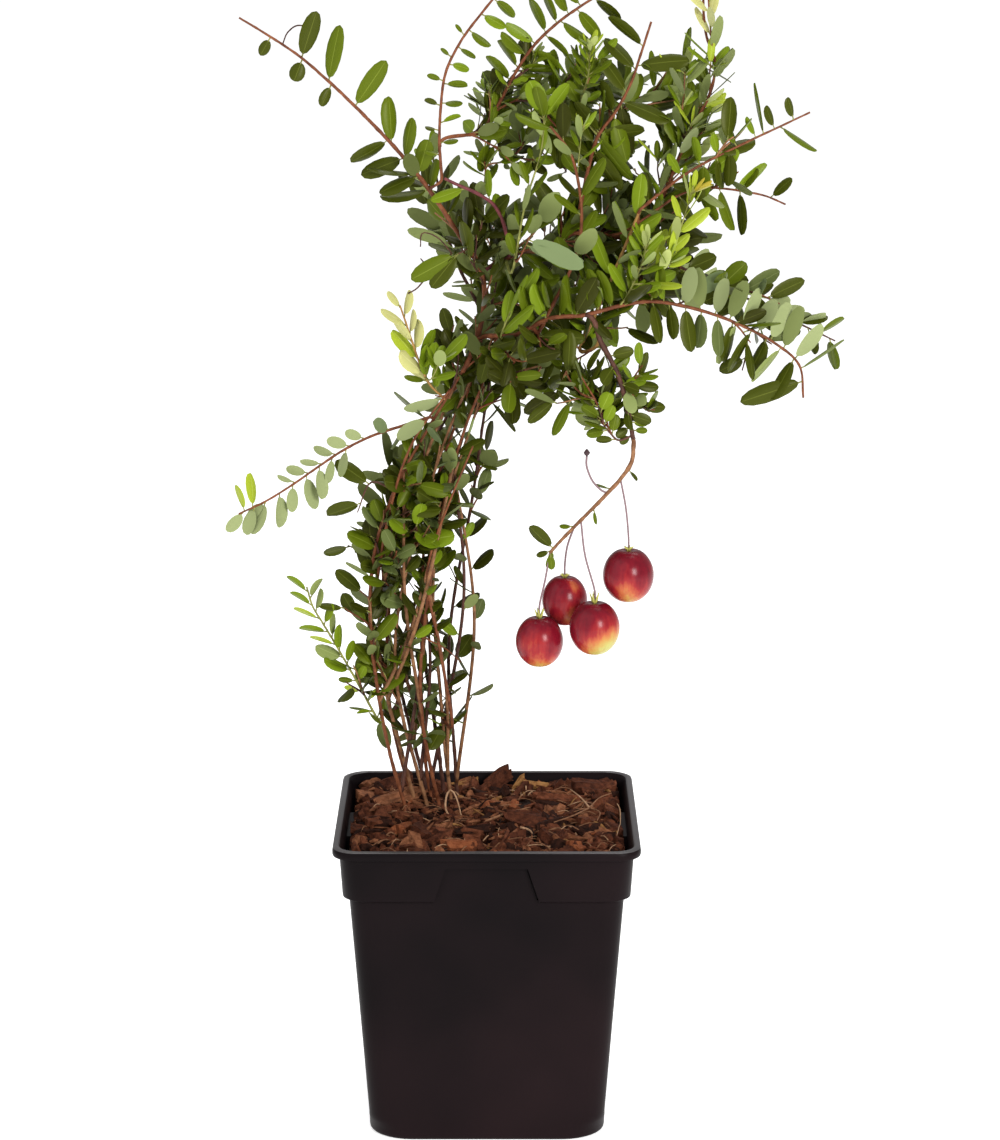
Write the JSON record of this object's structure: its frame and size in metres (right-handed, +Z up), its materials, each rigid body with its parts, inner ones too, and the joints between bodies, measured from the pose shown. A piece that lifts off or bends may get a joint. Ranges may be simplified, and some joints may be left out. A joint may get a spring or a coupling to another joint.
{
  "type": "potted cranberry bush",
  "caption": "Trailing berry bush with wiry arching stems and small oval leaves, growing in a square black nursery pot filled with bark compost.",
  "frame": {"origin": "middle of the pot's flat underside", "axes": "+Z up along the plant, -Y towards the front that the picture shows, +X to the right of that view"},
  "size_m": [0.1733, 0.0962, 0.35],
  "materials": {
    "pot_plastic": "satin black moulded plastic",
    "compost": "dark chipped bark",
    "bark": "thin red-brown bark, slightly rough",
    "leaves": "small leathery leaves, satin green"
  },
  "bodies": {
    "root": {"bough_back_left": "bark", "bough_back_low": "bark", "bough_back_right": "bark", "bough_centre": "bark", "bough_fruit_lower": "bark", "bough_fruit_upper": "bark", "bough_golden": "bark", "bough_left_low": "bark", "bough_left_upper": "bark", "bough_loop_lower": "bark", "bough_loop_upper": "bark", "bough_low_shoot": "bark", "bough_right_low": "bark", "bough_right_middle": "bark", "bough_right_spur": "bark", "bough_right_upper": "bark", "bough_top_centre": "bark", "bough_top_left": "bark", "bough_top_right": "bark", "bough_young_shoot": "bark", "compost": "compost", "foliage_back_left": "leaves", "foliage_back_low": "leaves", "foliage_back_right": "leaves", "foliage_back_side": "leaves", "foliage_back_spray": "leaves", "foliage_column_back": "leaves", "foliage_column_foot": "leaves", "foliage_column_front": "leaves", "foliage_column_right": "leaves", "foliage_fruit_bough": "leaves", "foliage_fruit_side": "leaves", "foliage_heart": "leaves", "foliage_heart_back": "leaves", "foliage_heart_front": "leaves", "foliage_left_low": "leaves", "foliage_left_middle": "leaves", "foliage_left_upper_root": "leaves", "foliage_left_upper_tip": "leaves", "foliage_low_shoot": "leaves", "foliage_middle": "leaves", "foliage_right_low_foot": "leaves", "foliage_right_low_top": "leaves", "foliage_right_middle": "leaves", "foliage_right_upper": "leaves", "foliage_top_back": "leaves", "foliage_top_left": "leaves", "foliage_top_middle": "leaves", "foliage_top_right": "leaves", "pot": "pot_plastic", "stem_01": "bark", "stem_02": "bark", "stem_03": "bark", "stem_04": "bark", "stem_05": "bark", "stem_06": "bark", "stem_07": "bark", "stem_08": "bark", "stem_09": "bark", "stem_10": "bark"}
  },
  "joints": []
}
